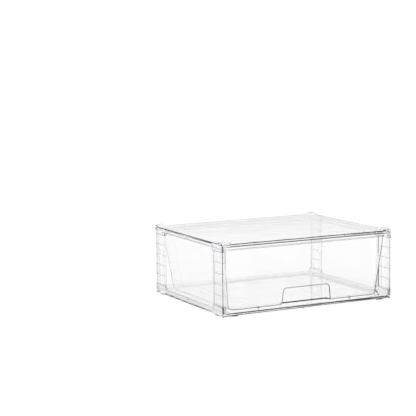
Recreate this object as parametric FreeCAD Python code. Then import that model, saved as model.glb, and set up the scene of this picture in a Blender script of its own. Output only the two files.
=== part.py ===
import FreeCAD, Part
import os

# Stackable clear shoe box with a pull-out drawer, in millimetres.
# Origin: centre of the footprint, on the surface that the feet stand on.
# +X to the right, +Y to the back, +Z up. The drawer's front faces -Y.

# Whole box
width = 350.0
depth = 278.0
stack_pitch = 131.5

# Top and base plates
sheet_thickness = 3.0
edge_radius = 1.5
front_lip_depth = 3.3
top_front_drop = 2.8
base_front_rise = 1.2

# Feet under the base, and the corner pads on top that carry the next box's feet
foot_height = 2.0
foot_inset = 1.0
foot_side = 30.0
middle_foot_width = 24.0
middle_foot_depth = 6.0
pad_side = 17.0
pad_rise = 3.3
boss_inset = 4.0
boss_side = 9.0
boss_rise = 1.3
boss_play = 0.5

# Channels that hold the side and back panels
channel_wall = 1.6
groove = 2.2
top_channel_drop = 5.4
base_channel_rise = 7.4

# Corner sockets moulded on both plates
socket_side = 40.0
socket_front = 8.0
socket_thickness = 6.4
top_socket_bottom = 114.4
base_socket_top = 17.5
socket_floor = 1.1

# Corner posts
post_side = 40.0
post_front = 7.2
post_thickness = 5.4
bead_depth = 0.5
rib_thickness = 1.2
rib_columns = 3
rib_rows = 5
tenon_clearance = 0.15

# Side and back panels
panel_thickness = 2.0
panel_play = 0.3
panel_tongue = 3.7
snap_width = 12.0
snap_height = 1.8
snap_play = 0.25
snap_depth = 1.2
snap_from_edge = 2.6

# Drawer, measured inwards from the box's faces, outside the drawer's walls
drawer_bottom = 8.0
drawer_top = 118.5
drawer_wall = 2.2
drawer_floor = 2.4
side_gap_bottom = 21.9
side_gap_top = 9.8
front_gap_bottom = 10.2
front_gap_top = 5.6
rear_gap_bottom = 25.0
rear_gap_top = 13.0
corner_radius_bottom = 13.0
corner_radius_top = 6.0
outer_floor_radius = 5.0
inner_floor_radius = 3.0
rim_width = 1.2
rim_height = 2.5
rim_corner_radius = 4.0

# Finger notch in the drawer's front
notch_width_bottom = 101.7
notch_width_top = 95.0
notch_top = 38.2
notch_corner_radius = 7.0
notch_back = 23.6
notch_back_radius = 5.0

# Runners and guide rails on the base plate
runner_offset = 95.0
runner_width = 4.0
runner_rise = 2.6
guide_offset = 14.0
guide_width = 2.5
guide_rise = 7.8
rail_start = 16.0
rail_end = 250.0
guide_ramp = 10.0

# Worked out from the sizes above
top_face = stack_pitch - pad_rise
top_underside = top_face - sheet_thickness
base_upside = foot_height + sheet_thickness
panel_inset = channel_wall + (groove - panel_thickness) / 2

# Slack allowed when edges are picked out by their place
tolerance = 0.001


def corner_box(x0, x1, y0, y1, z0, z1):
    """A box measured from the box's left and front faces."""
    corner = FreeCAD.Vector(x0 - width / 2, y0 - depth / 2, z0)
    return Part.makeBox(x1 - x0, y1 - y0, z1 - z0, corner)


def mirror_x(shape):
    return shape.mirror(FreeCAD.Vector(0, 0, 0), FreeCAD.Vector(1, 0, 0))


def mirror_y(shape):
    return shape.mirror(FreeCAD.Vector(0, 0, 0), FreeCAD.Vector(0, 1, 0))


def four_corners(shape):
    """The front-left corner's shape and its three mirror images."""
    front = [shape, mirror_x(shape)]
    return front + [mirror_y(item) for item in front]


def join(shapes):
    return shapes[0].multiFuse(shapes[1:]).removeSplitter()


def angle(side, front, thickness, inset, z0, z1):
    """An L-shaped column along the left and front faces, standing in from them by inset."""
    inner = thickness - inset
    along_side = corner_box(inset, inner, inset, side - inset, z0, z1)
    along_front = corner_box(inset, front - inset, inset, inner, z0, z1)
    return join([along_side, along_front])


def rounded_wire(x0, x1, y0, y1, radius, z):
    """A closed rectangle with quarter-circle corners, in a level plane."""
    corners = [(x0, y0, 1, 1), (x1, y0, -1, 1), (x1, y1, -1, -1), (x0, y1, 1, -1)]
    edges = []
    ends = []
    for index, (x, y, sx, sy) in enumerate(corners):
        along_y = FreeCAD.Vector(x, y + sy * radius, z)
        along_x = FreeCAD.Vector(x + sx * radius, y, z)
        lean = radius * (1 - 2 ** -0.5)
        middle = FreeCAD.Vector(x + sx * lean, y + sy * lean, z)
        first, last = (along_y, along_x) if index % 2 == 0 else (along_x, along_y)
        ends.append((first, middle, last))
    for index, (first, middle, last) in enumerate(ends):
        edges.append(Part.Arc(first, middle, last).toShape())
        following = ends[(index + 1) % len(ends)][0]
        edges.append(Part.LineSegment(last, following).toShape())
    return Part.Wire(edges)


def rounded_block(x0, x1, y0, y1, radius, z0, z1):
    wire = rounded_wire(x0, x1, y0, y1, radius, z0)
    return Part.Face(wire).extrude(FreeCAD.Vector(0, 0, z1 - z0))


def plate(z0, z1):
    half_x = width / 2
    half_y = depth / 2
    return rounded_block(-half_x, half_x, -half_y, half_y, edge_radius, z0, z1)


def socket(z0, z1, pocket_z0, pocket_z1):
    block = angle(socket_side, socket_front, socket_thickness, 0, z0, z1)
    pocket = angle(socket_side, socket_front, socket_thickness, channel_wall, pocket_z0, pocket_z1)
    return block.cut(pocket)


def channels(z0, z1, snap_z):
    """Two-walled channels along the left, right and back edges, with a snap window in each."""
    inner = channel_wall + groove
    side_end = depth - socket_side
    back_end = width - socket_front
    pieces = []
    for start in (0, inner):
        end = start + channel_wall
        side = corner_box(start, end, socket_side, side_end, z0, z1)
        back = corner_box(socket_front, back_end, depth - end, depth - start, z0, z1)
        if start == 0:
            half = snap_width / 2 + snap_play
            low = snap_z - snap_height / 2 - snap_play
            high = snap_z + snap_height / 2 + snap_play
            middle_y = depth / 2
            middle_x = width / 2
            side = side.cut(corner_box(0, end, middle_y - half, middle_y + half, low, high))
            window = corner_box(middle_x - half, middle_x + half, depth - end, depth, low, high)
            back = back.cut(window)
        pieces += [side, mirror_x(side), back]
    return pieces


def top_panel():
    """Flat top with a front lip, panel channels, post sockets and corner stacking pads."""
    low = top_underside - top_channel_drop
    front_lip = corner_box(socket_front, width - socket_front, 0, front_lip_depth,
                           top_underside - top_front_drop, top_underside)
    pocket_top = top_underside - socket_floor
    sockets = four_corners(socket(top_socket_bottom, top_underside, top_socket_bottom, pocket_top))
    pad = corner_box(0, pad_side, 0, pad_side, top_face, stack_pitch)
    pad = pad.common(plate(top_face, stack_pitch))
    boss_far = boss_inset + boss_side
    boss = corner_box(boss_inset, boss_far, boss_inset, boss_far,
                      stack_pitch, stack_pitch + boss_rise)
    pieces = [plate(top_underside, top_face), front_lip]
    pieces += sockets
    pieces += channels(low, top_underside, low + snap_from_edge)
    pieces += four_corners(pad) + four_corners(boss)
    return join(pieces)


def foot():
    """Square foot with a pocket for the locating boss of the box below."""
    far = foot_inset + foot_side
    pad = corner_box(foot_inset, far, foot_inset, far, 0, foot_height)
    low = boss_inset - boss_play
    high = boss_inset + boss_side + boss_play
    return pad.cut(corner_box(low, high, low, high, 0, foot_height))


def guide_rail():
    """Upright rail beside the drawer's floor, with a ramp at its front end."""
    top = base_upside + guide_rise
    x = guide_offset - width / 2
    profile = [
        (rail_start, base_upside),
        (rail_start + guide_ramp, top),
        (rail_end, top),
        (rail_end, base_upside),
    ]
    points = [FreeCAD.Vector(x, y - depth / 2, z) for y, z in profile]
    face = Part.Face(Part.makePolygon(points + points[:1]))
    return face.extrude(FreeCAD.Vector(guide_width, 0, 0))


def runner():
    start = width / 2 - runner_offset - runner_width / 2
    return corner_box(start, start + runner_width, rail_start, rail_end,
                      base_upside, base_upside + runner_rise)


def base_panel():
    """Flat base with feet, a front lip, panel channels, post sockets and drawer rails."""
    high = base_upside + base_channel_rise
    front_lip = corner_box(socket_front, width - socket_front, 0, front_lip_depth,
                           base_upside, base_upside + base_front_rise)
    pocket_bottom = base_upside + socket_floor
    sockets = four_corners(socket(base_upside, base_socket_top, pocket_bottom, base_socket_top))
    middle = width / 2
    half = middle_foot_width / 2
    middle_foot = corner_box(middle - half, middle + half, foot_inset,
                             foot_inset + middle_foot_depth, 0, foot_height)
    rails = [guide_rail(), runner()]
    pieces = [plate(foot_height, base_upside), front_lip, middle_foot]
    pieces += sockets
    pieces += channels(base_upside, high, high - snap_from_edge)
    pieces += four_corners(foot())
    pieces += rails + [mirror_x(item) for item in rails]
    return join(pieces)


def post_bays(z0, z1):
    """The lower and upper height of each open bay between the post's ribs."""
    rows = [z0 + (z1 - z0) * row / rib_rows for row in range(rib_rows + 1)]
    half = rib_thickness / 2
    return [(low + half, high - half) for low, high in zip(rows, rows[1:])]


def post_windows(z0, z1):
    """The open cells between the post's ribs, on its inner side."""
    skin = bead_depth + channel_wall
    half = rib_thickness / 2
    columns = [post_side * column / rib_columns for column in range(rib_columns + 1)]
    columns[0] = post_thickness - half
    columns[-1] = post_side - panel_tongue - channel_wall + half
    cells = []
    for low, high in post_bays(z0, z1):
        for near, far in zip(columns, columns[1:]):
            cells.append(corner_box(skin, post_thickness, near + half, far - half, low, high))
    return cells


def post():
    """Ribbed L-shaped corner post: panel grooves on both edges and a tenon at each end."""
    z0 = base_socket_top
    z1 = top_socket_bottom
    body = angle(post_side, post_front, post_thickness, 0, z0, z1)
    groove_low = channel_wall
    groove_high = channel_wall + groove
    side_groove = corner_box(groove_low, groove_high, post_side - panel_tongue, post_side, z0, z1)
    front_groove = corner_box(post_front - panel_tongue + bead_depth, post_front,
                              groove_low, groove_high, z0, z1)
    body = body.cut(Part.makeCompound([side_groove, front_groove] + post_windows(z0, z1)))
    for low, high in post_bays(z0, z1):
        side_bay = corner_box(0, bead_depth, 0, post_side, low, high)
        front_bay = corner_box(0, post_front, 0, bead_depth, low, high)
        body = body.cut(Part.makeCompound([side_bay, front_bay]))
    inset = channel_wall + tenon_clearance
    low_end = base_upside + socket_floor + tenon_clearance
    high_end = top_underside - socket_floor - tenon_clearance
    tenons = [
        angle(socket_side, socket_front, socket_thickness, inset, low_end, z0),
        angle(socket_side, socket_front, socket_thickness, inset, z1, high_end),
    ]
    return join([body] + tenons)


def upright_panel(length, end_gap, tongue_gap):
    """A flat panel along the left face, with tongues for the posts' grooves and two snap tabs."""
    z0 = base_upside + panel_play
    z1 = top_underside - panel_play
    near = panel_inset
    far = panel_inset + panel_thickness
    start = -length / 2
    sheet = Part.makeBox(far - near, length - 2 * end_gap, z1 - z0,
                         FreeCAD.Vector(near, start + end_gap, z0))
    tongue_low = base_socket_top + panel_play
    tongue_high = top_socket_bottom - panel_play
    tongues = Part.makeBox(far - near, length - 2 * tongue_gap, tongue_high - tongue_low,
                           FreeCAD.Vector(near, start + tongue_gap, tongue_low))
    snap_heights = [
        base_upside + base_channel_rise - snap_from_edge,
        top_underside - top_channel_drop + snap_from_edge,
    ]
    tabs = []
    for z in snap_heights:
        tabs.append(Part.makeBox(snap_depth, snap_width, snap_height,
                                 FreeCAD.Vector(near - snap_depth, -snap_width / 2,
                                                z - snap_height / 2)))
    return join([sheet, tongues] + tabs)


def side_panel():
    panel = upright_panel(depth, socket_side + panel_play,
                          post_side - panel_tongue + panel_play)
    panel.translate(FreeCAD.Vector(-width / 2, 0, 0))
    return panel


def back_panel():
    panel = upright_panel(width, socket_front + panel_play,
                          post_front - panel_tongue + bead_depth + panel_play)
    panel.rotate(FreeCAD.Vector(0, 0, 0), FreeCAD.Vector(0, 0, 1), -90)
    panel.translate(FreeCAD.Vector(0, depth / 2, 0))
    return panel


def drawer_section(z, inset):
    """The drawer's outline at a height, moved inwards by inset."""
    share = (z - drawer_bottom) / (drawer_top - drawer_bottom)

    def between(bottom, top):
        return bottom + (top - bottom) * share

    side = between(side_gap_bottom, side_gap_top) + inset
    front = between(front_gap_bottom, front_gap_top) + inset
    rear = between(rear_gap_bottom, rear_gap_top) + inset
    radius = between(corner_radius_bottom, corner_radius_top) - inset
    return rounded_wire(side - width / 2, width / 2 - side,
                        front - depth / 2, depth / 2 - rear, radius, z)


def drawer_body(z0, z1, inset, floor_radius):
    """A tapered block between two heights, with its bottom edge rounded."""
    block = Part.makeLoft([drawer_section(z0, inset), drawer_section(z1, inset)], True, True)
    bottom_edges = [edge for edge in block.Edges
                    if edge.BoundBox.ZMax < z0 + tolerance]
    return block.makeFillet(floor_radius, bottom_edges)


def notch_cutter():
    """The arched notch's outline, carried back through the front wall and into the floor."""
    half_low = notch_width_bottom / 2
    half_high = notch_width_top / 2
    low = drawer_bottom - outer_floor_radius
    outline = [
        FreeCAD.Vector(-half_low, -depth / 2, low),
        FreeCAD.Vector(-half_high, -depth / 2, notch_top),
        FreeCAD.Vector(half_high, -depth / 2, notch_top),
        FreeCAD.Vector(half_low, -depth / 2, low),
    ]
    face = Part.Face(Part.makePolygon(outline + outline[:1]))
    arch = face.extrude(FreeCAD.Vector(0, notch_back, 0))
    top_corners = [edge for edge in arch.Edges
                   if edge.BoundBox.ZMin > notch_top - tolerance
                   and edge.BoundBox.XMax - edge.BoundBox.XMin < tolerance]
    arch = arch.makeFillet(notch_corner_radius, top_corners)
    back = notch_back - depth / 2
    plan = rounded_block(-half_low, half_low, -depth / 2 - notch_back, back,
                         notch_back_radius, low, notch_top)
    return arch.common(plan)


def drawer():
    """Tapered one-piece tub with a small rim and an open finger notch."""
    outer = drawer_body(drawer_bottom, drawer_top, 0, outer_floor_radius)
    inner = drawer_body(drawer_bottom + drawer_floor, drawer_top, drawer_wall, inner_floor_radius)
    rim = rounded_block(side_gap_top - rim_width - width / 2, width / 2 - side_gap_top + rim_width,
                        front_gap_top - rim_width - depth / 2,
                        depth / 2 - rear_gap_top + rim_width,
                        rim_corner_radius, drawer_top - rim_height, drawer_top)
    return outer.fuse(rim).cut(inner).cut(notch_cutter()).removeSplitter()


def one_solid(shape):
    solids = shape.Solids
    if len(solids) != 1 or not shape.isValid():
        raise ValueError("a piece came out as %d solids" % len(solids))
    return solids[0]


corner_post = post()
left_wall = side_panel()
pieces = {
    "top_panel": top_panel(),
    "base_panel": base_panel(),
    "post_front_left": corner_post,
    "post_front_right": mirror_x(corner_post),
    "post_rear_left": mirror_y(corner_post),
    "post_rear_right": mirror_y(mirror_x(corner_post)),
    "left_panel": left_wall,
    "right_panel": mirror_x(left_wall),
    "back_panel": back_panel(),
    "drawer": drawer(),
}

os.makedirs("parts", exist_ok=True)
for name, shape in pieces.items():
    solid = one_solid(shape)
    solid.exportStep("parts/%s.step" % name)
    box = solid.BoundBox
    print("%-18s %8.1f cm3  X %7.2f %7.2f  Y %7.2f %7.2f  Z %7.2f %7.2f" % (
        name, solid.Volume / 1000, box.XMin, box.XMax, box.YMin, box.YMax, box.ZMin, box.ZMax))
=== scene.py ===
import math

import bmesh
import bpy
import numpy as np
from mathutils import Matrix, Vector


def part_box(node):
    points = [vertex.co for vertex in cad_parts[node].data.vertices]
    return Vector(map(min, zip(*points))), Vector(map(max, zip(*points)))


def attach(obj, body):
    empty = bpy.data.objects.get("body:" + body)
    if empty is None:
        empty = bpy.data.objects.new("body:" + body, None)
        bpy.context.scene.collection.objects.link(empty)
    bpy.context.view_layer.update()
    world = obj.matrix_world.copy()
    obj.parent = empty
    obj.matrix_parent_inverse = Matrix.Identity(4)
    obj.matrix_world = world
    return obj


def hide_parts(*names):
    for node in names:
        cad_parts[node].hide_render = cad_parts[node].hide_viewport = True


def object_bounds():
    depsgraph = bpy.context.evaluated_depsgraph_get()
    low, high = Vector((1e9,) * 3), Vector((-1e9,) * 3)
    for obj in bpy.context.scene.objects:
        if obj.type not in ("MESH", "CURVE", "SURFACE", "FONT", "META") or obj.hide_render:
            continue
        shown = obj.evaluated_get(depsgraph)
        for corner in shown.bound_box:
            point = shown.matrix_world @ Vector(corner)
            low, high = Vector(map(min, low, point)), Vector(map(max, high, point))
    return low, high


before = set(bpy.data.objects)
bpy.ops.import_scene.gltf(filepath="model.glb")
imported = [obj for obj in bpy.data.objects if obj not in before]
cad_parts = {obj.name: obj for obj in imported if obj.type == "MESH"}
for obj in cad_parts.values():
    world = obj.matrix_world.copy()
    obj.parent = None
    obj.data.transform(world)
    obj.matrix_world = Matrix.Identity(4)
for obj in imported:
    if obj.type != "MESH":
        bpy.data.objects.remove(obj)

cad_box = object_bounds()


# ----------------------------------------------------------------------------
# Studio: the box stands on a white sweep that glows softly from below, in a
# bright room whose ceiling is dimmer. The camera is a long lens, a little
# above the box, looking at its front left corner.
CAMERA_PLACE = (-1.2194, -2.1711, 0.4803)
CAMERA_AZIMUTH = math.radians(26.615)
CAMERA_FALL = math.radians(7.165)
CAMERA_ROLL = math.radians(-0.738)
CAMERA_LENS = 115.91
SENSOR_WIDTH = 36.0
CAMERA_REACH = (0.05, 90.0)

FLOOR_HALF = 40.0
FLOOR_GAP = 0.0002
FLOOR_WHITE = (0.30, 0.30, 0.30, 1)
FLOOR_GLOW_COLOUR = (1, 1, 1, 1)
FLOOR_GLOW = 0.92
FLOOR_ROUGHNESS = 0.9

ROOM_STRENGTH = 1.1
ROOM_BANDS = (  # sine of the height above the horizon, brightness there
    (0.00, 1.00),
    (0.08, 1.00),
    (0.125, 0.77),
    (0.14, 0.78),
    (0.165, 0.97),
    (0.25, 0.96),
    (0.42, 0.34),
    (1.00, 0.20),
)

LIGHT_PATH_BOUNCES = 22


def look_along(azimuth, fall, roll):
    """The camera's turn: azimuth to the right of +Y, fall below the horizon, then rolled."""
    forward = Vector((math.sin(azimuth) * math.cos(fall),
                      math.cos(azimuth) * math.cos(fall),
                      -math.sin(fall)))
    right = Vector((math.cos(azimuth), -math.sin(azimuth), 0))
    up = right.cross(forward)
    rolled_right = math.cos(roll) * right + math.sin(roll) * up
    rolled_up = math.cos(roll) * up - math.sin(roll) * right
    return Matrix((rolled_right, rolled_up, -forward)).transposed().to_4x4()


def add_object(name, data):
    """An object that holds the data, at the origin of the scene."""
    item = bpy.data.objects.new(name, data)
    bpy.context.scene.collection.objects.link(item)
    return item


def shader_material(name):
    """A node material holding only a Principled shader and its output."""
    material = bpy.data.materials.new(name)
    material.use_nodes = True
    tree = material.node_tree
    tree.nodes.clear()
    output = tree.nodes.new("ShaderNodeOutputMaterial")
    shader = tree.nodes.new("ShaderNodeBsdfPrincipled")
    tree.links.new(shader.outputs["BSDF"], output.inputs["Surface"])
    return material, tree, shader


lens = bpy.data.cameras.new("camera")
lens.lens = CAMERA_LENS
lens.sensor_width = SENSOR_WIDTH
lens.clip_start, lens.clip_end = CAMERA_REACH
camera = add_object("camera", lens)
camera.matrix_world = (Matrix.Translation(CAMERA_PLACE)
                       @ look_along(CAMERA_AZIMUTH, CAMERA_FALL, CAMERA_ROLL))
bpy.context.scene.camera = camera

floor_mesh = bpy.data.meshes.new("floor")
floor_corners = [(-1, -1), (1, -1), (1, 1), (-1, 1)]
floor_mesh.from_pydata([(x * FLOOR_HALF, y * FLOOR_HALF, -FLOOR_GAP) for x, y in floor_corners],
                       [], [(0, 1, 2, 3)])
floor_paint, _, floor_shader = shader_material("floor_white")
floor_shader.inputs["Base Color"].default_value = FLOOR_WHITE
floor_shader.inputs["Roughness"].default_value = FLOOR_ROUGHNESS
floor_shader.inputs["Emission Color"].default_value = FLOOR_GLOW_COLOUR
floor_shader.inputs["Emission Strength"].default_value = FLOOR_GLOW
floor_mesh.materials.append(floor_paint)
add_object("floor", floor_mesh)

room = bpy.data.worlds.new("room")
room.use_nodes = True
room_tree = room.node_tree
room_tree.nodes.clear()
room_output = room_tree.nodes.new("ShaderNodeOutputWorld")
room_light = room_tree.nodes.new("ShaderNodeBackground")
room_light.inputs["Strength"].default_value = ROOM_STRENGTH
room_place = room_tree.nodes.new("ShaderNodeTexCoord")
room_height = room_tree.nodes.new("ShaderNodeSeparateXYZ")
room_ramp = room_tree.nodes.new("ShaderNodeValToRGB")
stops = room_ramp.color_ramp.elements
while len(stops) < len(ROOM_BANDS):
    stops.new(1.0)
for stop, (height, brightness) in zip(stops, ROOM_BANDS):
    stop.position = height
    stop.color = (brightness, brightness, brightness, 1)
room_tree.links.new(room_place.outputs["Generated"], room_height.inputs[0])
room_tree.links.new(room_height.outputs["Z"], room_ramp.inputs["Fac"])
room_tree.links.new(room_ramp.outputs["Color"], room_light.inputs["Color"])
room_tree.links.new(room_light.outputs[0], room_output.inputs["Surface"])
bpy.context.scene.world = room

bpy.context.scene.view_settings.view_transform = "Standard"
light_paths = bpy.context.scene.cycles
light_paths.max_bounces = LIGHT_PATH_BOUNCES
light_paths.transmission_bounces = LIGHT_PATH_BOUNCES
light_paths.glossy_bounces = LIGHT_PATH_BOUNCES
light_paths.transparent_max_bounces = LIGHT_PATH_BOUNCES


# ----------------------------------------------------------------------------
# Base plate: one moulding in clear polystyrene, with feet under its corners,
# sockets for the posts, channels for the panels and rails for the drawer.
PLATE_LONG_EDGE = 0.0013
PLATE_SMALL_EDGE = 0.0002
# Below this height a narrow strip along the base's front is painted near black: painted shade for
# the dark line at its foot.
BASE_FRONT_LINE = 0.0062
PLATE_TINT = (0.977, 0.977, 0.98, 1)
# Painted shade: the edges' tint below is near black, standing in for the dark lines that refraction
# draws along the clear plastic's rounded edges.
EDGE_PAINTED_SHADE = (0.02, 0.02, 0.028, 1)
OUTER_TINT = (0.88, 0.875, 0.92, 1)

# The edges' slot holds that painted near-black shade.
EDGE_SHADE_SLOT = 1
OUTER_SLOT = 2

SAME_PLACE = 1e-6
PLACE_DIGITS = 5
FLAT_ANGLE = math.radians(0.5)
SHARP_ANGLE = math.radians(40)
OUTSIDE_DEPTH = 0.0006
LONG_EDGE_LENGTH = 0.05
CORNER_EDGE_LENGTH = 0.01
SHARE_OF_WIDTH = 0.4
NARROW_STRIP = 0.0024
SLOPE_LIMIT = 0.5
LONG_EDGE_STEPS = 4
SMALL_EDGE_STEPS = 2
AREA_WEIGHT = 100

PLASTIC_IOR = 1.57
FLOW_DETAIL = 1.0
STROKE_SCALE = (900, 25, 900)
STROKE_TURN = (0.3, 0.2, 0.6)
STROKE_DETAIL = 2.0
STROKE_LOW = 0.62
STROKE_HIGH = 0.80
STROKE_ROUGHNESS = 0.09


def weigh_outer_edges(work, radius, outside):
    """Marks the long outer edges and the box's upright corner edges for a rounding of the
    radius, or less beside a narrow face; gives the (axis, place) of the planes at their ends."""
    weight = work.edges.layers.float.new("bevel_weight_edge")
    planes = set()
    for edge in work.edges:
        length = edge.calc_length()
        ends = np.abs([vert.co for vert in edge.verts])
        on_side, on_end = (ends[:, :2] > outside).all(axis=0)
        outer = (on_side or on_end) and length > LONG_EDGE_LENGTH
        corner = on_side and on_end and length > CORNER_EDGE_LENGTH
        if (outer or corner) and edge.calc_face_angle(0) > SHARP_ANGLE:
            width = min(face.calc_area() for face in edge.link_faces) / length
            edge[weight] = min(1.0, SHARE_OF_WIDTH * width / radius)
            low, high = (np.array(vert.co) for vert in edge.verts)
            axis = int(np.argmax(np.abs(high - low)))
            planes.update((axis, round(float(end[axis]), PLACE_DIGITS)) for end in (low, high))
    return planes


def cut_faces(work, planes):
    """Divides the faces along planes square to an axis, so that a rounding can end there."""
    for axis, place in sorted(planes):
        point = np.zeros(3)
        point[axis] = place
        bmesh.ops.bisect_plane(work, geom=work.verts[:] + work.edges[:] + work.faces[:],
                               dist=SAME_PLACE, plane_co=point, plane_no=np.eye(3)[axis])


def sort_faces(work, outside, front_line):
    """Gives the upright outer faces the outer slot, or the edges' slot of painted near-black shade
    where a narrow strip along the front lies below the height front_line, painting a dark line
    there."""
    for face in work.faces:
        face.smooth = True
        middle = np.abs(face.calc_center_median())
        if (middle[:2] > outside).any() and abs(face.normal.z) < SLOPE_LIMIT:
            longest = max(edge.calc_length() for edge in face.edges)
            narrow = longest > LONG_EDGE_LENGTH and face.calc_area() / longest < NARROW_STRIP
            on_line = face.normal.y < -SLOPE_LIMIT and middle[2] < front_line
            # The narrow front strip below front_line is painted dark as shade.
            face.material_index = EDGE_SHADE_SLOT if narrow and on_line else OUTER_SLOT


def keep_flat(piece):
    """Leans the normals to the large faces, so that these stay flat beside rounded edges."""
    flats = piece.modifiers.new("flat_faces", "WEIGHTED_NORMAL")
    flats.weight = AREA_WEIGHT


def rounded_copy(node, long_radius, small_radius, front_line=0):
    """A CAD node's mesh, merged and with its sharp edges rounded: the long outer edges by
    long_radius and all the others by small_radius. The long roundings take the edges' slot, painted
    near-black shade."""
    name = "clear_" + node
    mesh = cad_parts[node].data.copy()
    mesh.name = name
    mesh.materials.clear()
    outside = np.array(cad_box[1])[:2] - OUTSIDE_DEPTH
    work = bmesh.new()
    work.from_mesh(mesh)
    bmesh.ops.remove_doubles(work, verts=work.verts, dist=SAME_PLACE)
    bmesh.ops.dissolve_limit(work, angle_limit=FLAT_ANGLE, verts=work.verts, edges=work.edges)
    planes = weigh_outer_edges(work, long_radius, outside)
    cut_faces(work, planes | {(2, front_line)})
    sort_faces(work, outside, front_line)
    work.to_mesh(mesh)
    work.free()
    piece = add_object(name, mesh)
    long_bevel = piece.modifiers.new("long_edges", "BEVEL")
    long_bevel.limit_method = "WEIGHT"
    long_bevel.width = long_radius
    long_bevel.segments = LONG_EDGE_STEPS
    long_bevel.use_clamp_overlap = False
    # The long roundings are painted near black as shade.
    long_bevel.material = EDGE_SHADE_SLOT
    small_bevel = piece.modifiers.new("small_edges", "BEVEL")
    small_bevel.limit_method = "ANGLE"
    small_bevel.angle_limit = SHARP_ANGLE
    small_bevel.width = small_radius
    small_bevel.segments = SMALL_EDGE_STEPS
    keep_flat(piece)
    return piece


def clear_plastic(name, flow_size, flow_height, seed, tint):
    """Clear moulded polystyrene: faint flow waves from the mould, and fine stroke-like
    scuffs that haze it a little. The seed moves the pattern along. The tint is the base colour; for
    the edge, corner and rim materials it is painted shade."""
    material, tree, shader = shader_material(name)

    def add(kind, **values):
        """A node with its inputs set, an underscore standing for a space in their names."""
        node = tree.nodes.new(kind)
        for key, value in values.items():
            node.inputs[key.replace("_", " ")].default_value = value
        return node

    shader.inputs["Base Color"].default_value = tint
    shader.inputs["Transmission Weight"].default_value = 1.0
    shader.inputs["IOR"].default_value = PLASTIC_IOR
    place = add("ShaderNodeTexCoord")
    shift = add("ShaderNodeMapping", Location=(seed, 2 * seed, 3 * seed))
    tree.links.new(place.outputs["Object"], shift.inputs["Vector"])
    flow = add("ShaderNodeTexNoise", Scale=1 / flow_size, Detail=FLOW_DETAIL)
    tree.links.new(shift.outputs[0], flow.inputs["Vector"])
    wave = add("ShaderNodeBump", Distance=flow_height, Strength=1.0)
    tree.links.new(flow.outputs["Fac"], wave.inputs["Height"])
    stretch = add("ShaderNodeMapping", Scale=STROKE_SCALE, Rotation=STROKE_TURN)
    tree.links.new(shift.outputs[0], stretch.inputs["Vector"])
    strokes = add("ShaderNodeTexNoise", Scale=1.0, Detail=STROKE_DETAIL)
    tree.links.new(stretch.outputs[0], strokes.inputs["Vector"])
    haze = add("ShaderNodeMapRange", From_Min=STROKE_LOW, From_Max=STROKE_HIGH,
               To_Min=0.0, To_Max=STROKE_ROUGHNESS)
    tree.links.new(strokes.outputs["Fac"], haze.inputs["Value"])
    tree.links.new(haze.outputs[0], shader.inputs["Roughness"])
    tree.links.new(wave.outputs["Normal"], shader.inputs["Normal"])
    return material


def fit(piece, node, body, materials):
    """Puts a finished piece in a CAD node's place on its body."""
    for material in materials:
        piece.data.materials.append(material)
    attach(piece, body)
    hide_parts(node)


# Painted shade: near-black material for the rounded edges, the notch's edges and the narrow front
# strips.
edge_shade_plastic = clear_plastic("clear_edge_painted_shade", flow_size=0.02, flow_height=0.00003,
                             seed=5.1, tint=EDGE_PAINTED_SHADE)
outer_plastic = clear_plastic("clear_outer", flow_size=0.045, flow_height=0.00003,
                              seed=6.3, tint=OUTER_TINT)
plate_plastic = clear_plastic("clear_plate", flow_size=0.045, flow_height=0.00008,
                              seed=0.0, tint=PLATE_TINT)
plate_materials = [plate_plastic, edge_shade_plastic, outer_plastic]
base = rounded_copy("base_panel", PLATE_LONG_EDGE, PLATE_SMALL_EDGE, BASE_FRONT_LINE)
fit(base, "base_panel", "frame", plate_materials)


# ----------------------------------------------------------------------------
# Corner posts: four L-shaped mouldings in the same clear plastic, ribbed inside
# and beaded outside, pushed into the sockets of the two plates.
POST_LONG_EDGE = 0.0010
POST_SMALL_EDGE = 0.00015
POST_TINT = (0.95, 0.95, 0.955, 1)

post_plastic = clear_plastic("clear_post", flow_size=0.03, flow_height=0.0001,
                             seed=1.3, tint=POST_TINT)
post_materials = [post_plastic, edge_shade_plastic, post_plastic]
for node in ("post_front_left", "post_front_right", "post_rear_left", "post_rear_right"):
    post = rounded_copy(node, POST_LONG_EDGE, POST_SMALL_EDGE)
    fit(post, node, "frame", post_materials)


# ----------------------------------------------------------------------------
# Side and back panels: flat 2 mm sheets that stand in the channels and in the
# posts' grooves, held by a small snap tab at the middle of each long edge.
PANEL_LONG_EDGE = 0.0004
PANEL_SMALL_EDGE = 0.0002
PANEL_TINT = (0.962, 0.962, 0.962, 1)

panel_plastic = clear_plastic("clear_panel", flow_size=0.06, flow_height=0.00015,
                              seed=2.1, tint=PANEL_TINT)
panel_materials = [panel_plastic, edge_shade_plastic, panel_plastic]
for node in ("left_panel", "right_panel", "back_panel"):
    panel = rounded_copy(node, PANEL_LONG_EDGE, PANEL_SMALL_EDGE)
    fit(panel, node, "frame", panel_materials)


# ----------------------------------------------------------------------------
# Top plate: the base plate's fellow, with stacking pads on its corners and a
# lip along its front; it snaps down over the posts and panels.
# Below this height a narrow strip along the top plate's front lip is painted near black: painted
# shade for its dark edge line.
TOP_FRONT_LINE = 0.1247

top = rounded_copy("top_panel", PLATE_LONG_EDGE, PLATE_SMALL_EDGE, TOP_FRONT_LINE)
fit(top, "top_panel", "frame", plate_materials)


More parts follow.
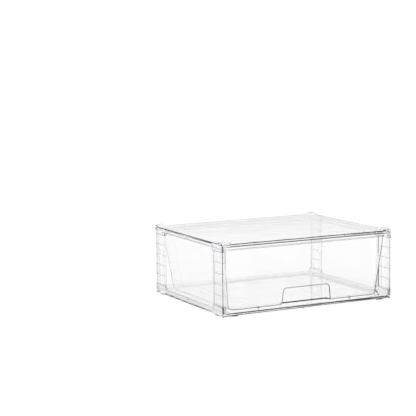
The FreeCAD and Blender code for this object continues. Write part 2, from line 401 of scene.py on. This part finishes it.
# ----------------------------------------------------------------------------
# Drawer: one tapered tub moulded in clear plastic, with rounded corners, a thin
# rim round its mouth and a finger notch cut through the front and the floor.
DRAWER_WALL = 0.0022
DRAWER_FLOOR = 0.0024
DRAWER_LEAN_SIDE = 0.0121
DRAWER_LEAN_FRONT = 0.0046
DRAWER_LEAN_REAR = 0.0120
CORNER_BOTTOM = 0.013
CORNER_TOP = 0.006
CORNER_STEPS = 10
FLOOR_RADIUS_OUTSIDE = 0.005
FLOOR_STEPS_OUTSIDE = 8
FLOOR_RADIUS_INSIDE = 0.003
FLOOR_STEPS_INSIDE = 6
RIM_WIDTH = 0.0012
RIM_HEIGHT = 0.0025
RIM_EDGE = 0.0006
RIM_STEPS = 3
NOTCH_HALF_LOW = 0.05085
NOTCH_HALF_HIGH = 0.0475
NOTCH_TOP = 0.0382
NOTCH_CORNER = 0.007
NOTCH_BACK = 0.0192
NOTCH_BACK_RADIUS = 0.005
NOTCH_STEPS = 8
NOTCH_EDGE = 0.00109
NOTCH_EDGE_STEPS = 4
NOTCH_SHARP_ANGLE = math.radians(50)
ROUND_PROFILE = 0.5
SEAM_GAP = 1e-7

CORNER_SHADE_SLOT = 2
RIM_SHADE_SLOT = 3
DRAWER_TINT = (0.985, 0.985, 0.985, 1)
# Painted shade: the drawer's round corners grow near black with the Layer Weight facing, standing in
# for the dark lines refraction draws there.
CORNER_PAINTED_SHADE = (0.02, 0.02, 0.025, 1)
CORNER_SHADE_START = 0.40
CORNER_SHADE_END = 0.50
# Painted shade: the front column of the rim's outer face is dark grey, standing in for the dark line
# along the drawer's front lip.
RIM_PAINTED_SHADE = (0.42, 0.42, 0.45, 1)

tub_low, tub_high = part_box("drawer")


def arc(radius, steps, start, end):
    """Points from the angle start to end in degrees, as (radius cos, radius sin) rows."""
    angle = np.radians(np.linspace(start, end, steps + 1))
    return radius * np.stack([np.cos(angle), np.sin(angle)], axis=1)


def tub_ring(height, inset):
    """The tub's outline at a height, moved in by inset: a rectangle whose sides lean out evenly
    with height, and whose corners are quarter circles of a radius that shrinks with height."""
    rise = (height - tub_low.z) / (tub_high.z - tub_low.z)
    lean = 1 - rise
    x = tub_high.x - RIM_WIDTH - DRAWER_LEAN_SIDE * lean - inset
    front = tub_low.y + RIM_WIDTH + DRAWER_LEAN_FRONT * lean + inset
    rear = tub_high.y - RIM_WIDTH - DRAWER_LEAN_REAR * lean - inset
    radius = CORNER_TOP + (CORNER_BOTTOM - CORNER_TOP) * lean - inset
    centres = ((x - radius, rear - radius), (radius - x, rear - radius),
               (radius - x, front + radius), (x - radius, front + radius))
    plan = np.concatenate([arc(radius, CORNER_STEPS, 90 * turn, 90 * turn + 90) + centre
                           for turn, centre in enumerate(centres)])
    return np.column_stack([plan, np.full(len(plan), height)])


def tub_profile():
    """(height, inset) of the tub's wall, from the inner floor up over the rim and down to the
    outer floor, each corner a quarter circle added to the wall's own lean."""
    bottom, top = tub_low.z, tub_high.z
    inner = [(bottom + DRAWER_FLOOR + FLOOR_RADIUS_INSIDE - s, DRAWER_WALL + FLOOR_RADIUS_INSIDE - c)
             for c, s in arc(FLOOR_RADIUS_INSIDE, FLOOR_STEPS_INSIDE, 90, 0)]
    edge = arc(RIM_EDGE, RIM_STEPS, 0, 90)
    inner_lip = [(top - RIM_EDGE + s, DRAWER_WALL - RIM_EDGE + c) for c, s in edge]
    outer_lip = [(top - RIM_EDGE + s, RIM_EDGE - RIM_WIDTH - c) for c, s in edge[::-1]]
    under = top - RIM_HEIGHT
    lower_lip = [(under + RIM_EDGE - s, RIM_EDGE - RIM_WIDTH - c) for c, s in edge]
    fold = [(under - RIM_EDGE + s, c - RIM_EDGE) for c, s in edge[::-1]]
    outer = [(bottom + FLOOR_RADIUS_OUTSIDE - s, FLOOR_RADIUS_OUTSIDE - c)
             for c, s in arc(FLOOR_RADIUS_OUTSIDE, FLOOR_STEPS_OUTSIDE, 0, 90)]
    return inner + inner_lip + outer_lip + lower_lip + fold + outer


def tub_slots(rings):
    """Material slots of the tub's quads: the corner columns of the tall outer wall, and the
    one column of the rim's outer face that runs along the front. Both slots carry painted shade."""
    heights = rings[:, 0, 2]
    columns = np.arange(rings.shape[1])
    round_corner = columns % (CORNER_STEPS + 1) < CORNER_STEPS
    front = columns == 3 * (CORNER_STEPS + 1) - 1
    outer_wall = np.diff(heights) < -(tub_high.z - tub_low.z) / 2
    rim_middle = tub_high.z - RIM_HEIGHT / 2
    rim_face = (heights[1:] < rim_middle) & (heights[:-1] > rim_middle)
    # Painted shade on the round corner columns and on the front rim column.
    return (np.where(outer_wall[:, None] & round_corner, CORNER_SHADE_SLOT, 0)
            + np.where(rim_face[:, None] & front, RIM_SHADE_SLOT, 0))


def closed_tube(name, rings, slots=0):
    """A closed solid from rings of points: quads between each ring and the next, and one
    flat face over the first ring and the last; slots holds the quads' material numbers."""
    count, around = rings.shape[:2]
    index = np.arange(count * around).reshape(count, around)
    quads = np.stack([index[:-1], np.roll(index[:-1], -1, axis=1),
                      np.roll(index[1:], -1, axis=1), index[1:]], axis=-1).reshape(-1, 4)
    faces = quads.tolist() + [index[0][::-1].tolist(), index[-1].tolist()]
    mesh = bpy.data.meshes.new(name)
    mesh.from_pydata(rings.reshape(-1, 3).tolist(), [], faces)
    chosen = np.zeros(len(faces), dtype=np.int32)
    chosen[:len(quads)] = np.broadcast_to(slots, index[:-1].shape).ravel()
    mesh.polygons.foreach_set("material_index", chosen)
    work = bmesh.new()
    work.from_mesh(mesh)
    bmesh.ops.remove_doubles(work, verts=work.verts, dist=SEAM_GAP)
    bmesh.ops.recalc_face_normals(work, faces=work.faces)
    work.to_mesh(mesh)
    work.free()
    return add_object(name, mesh)


def notch_cutter():
    """The notch's arch, a slightly tapered opening with round top corners, carried from the
    front backwards and narrowed to a round-cornered end in the floor."""
    low = tub_low.z - FLOOR_RADIUS_OUTSIDE
    corner = arc(NOTCH_CORNER, NOTCH_STEPS, 180, 90) + (NOTCH_CORNER - NOTCH_HALF_HIGH,
                                                        NOTCH_TOP - NOTCH_CORNER)
    left = np.vstack([[(-NOTCH_HALF_LOW, low)], corner])
    arch = np.vstack([left, left[::-1] * (-1, 1)])
    front = cad_box[0].y - NOTCH_BACK
    back = tub_low.y + NOTCH_BACK
    turn = arc(NOTCH_BACK_RADIUS, NOTCH_STEPS, 0, 90)
    depths = np.concatenate([[front], back - NOTCH_BACK_RADIUS + turn[:, 1]])
    halves = np.concatenate([[NOTCH_HALF_LOW], NOTCH_HALF_LOW - NOTCH_BACK_RADIUS + turn[:, 0]])
    rings = []
    for y, half in zip(depths, halves):
        x = np.clip(arch[:, 0], -half, half)
        rings.append(np.column_stack([x, np.full(len(x), y), arch[:, 1]]))
    return closed_tube("notch_cutter", np.array(rings))


def cut_and_round(piece, cutter):
    """Cuts the cutter out of the piece and rounds the new sharp edges, whose roundings take the
    edges' slot of painted near-black shade.
    """
    cut = piece.modifiers.new("cut", "BOOLEAN")
    cut.operation = "DIFFERENCE"
    cut.solver = "EXACT"
    cut.object = cutter
    graph = bpy.context.evaluated_depsgraph_get()
    mesh = bpy.data.meshes.new_from_object(piece.evaluated_get(graph))
    piece.modifiers.remove(cut)
    bpy.data.objects.remove(cutter)
    work = bmesh.new()
    work.from_mesh(mesh)
    bmesh.ops.remove_doubles(work, verts=work.verts, dist=SAME_PLACE)
    edges = [edge for edge in work.edges
             if len(edge.link_faces) == 2 and edge.calc_face_angle() > NOTCH_SHARP_ANGLE]
    # The notch's roundings are painted near black as shade.
    bmesh.ops.bevel(work, geom=edges, offset=NOTCH_EDGE, segments=NOTCH_EDGE_STEPS,
                    profile=ROUND_PROFILE, affect="EDGES", clamp_overlap=False,
                    material=EDGE_SHADE_SLOT)
    for face in work.faces:
        face.smooth = True
    work.to_mesh(mesh)
    work.free()
    piece.data = mesh
    mesh.name = piece.name
    keep_flat(piece)


def corner_shade_plastic():
    """The drawer's plastic with painted shade: it turns near black where a round corner turns away
    from the eye, standing in for the dark lines refraction draws at the corners.
    """
    material = clear_plastic("clear_corner_painted_shade", flow_size=0.05, flow_height=0.00015,
                             seed=3.7, tint=DRAWER_TINT)
    tree = material.node_tree
    glance = tree.nodes.new("ShaderNodeLayerWeight")
    paint_corner_shade = tree.nodes.new("ShaderNodeValToRGB")
    start, end = paint_corner_shade.color_ramp.elements
    start.position, start.color = CORNER_SHADE_START, DRAWER_TINT
    end.position, end.color = CORNER_SHADE_END, CORNER_PAINTED_SHADE
    # The Layer Weight facing paints shade into the base colour.
    tree.links.new(glance.outputs["Facing"], paint_corner_shade.inputs["Fac"])
    shader = tree.nodes["Principled BSDF"]
    tree.links.new(paint_corner_shade.outputs["Color"], shader.inputs["Base Color"])
    return material


tub_rings = np.array([tub_ring(height, inset) for height, inset in tub_profile()])
drawer = closed_tube("clear_drawer", tub_rings, tub_slots(tub_rings))
cut_and_round(drawer, notch_cutter())
drawer_plastic = clear_plastic("clear_drawer", flow_size=0.05, flow_height=0.00015,
                               seed=3.7, tint=DRAWER_TINT)
# Painted shade: dark grey material for the rim's front face.
rim_shade_plastic = clear_plastic("clear_rim_painted_shade", flow_size=0.05, flow_height=0.00015,
                            seed=4.9, tint=RIM_PAINTED_SHADE)
drawer_materials = [drawer_plastic, edge_shade_plastic, corner_shade_plastic(), rim_shade_plastic]
fit(drawer, "drawer", "drawer", drawer_materials)
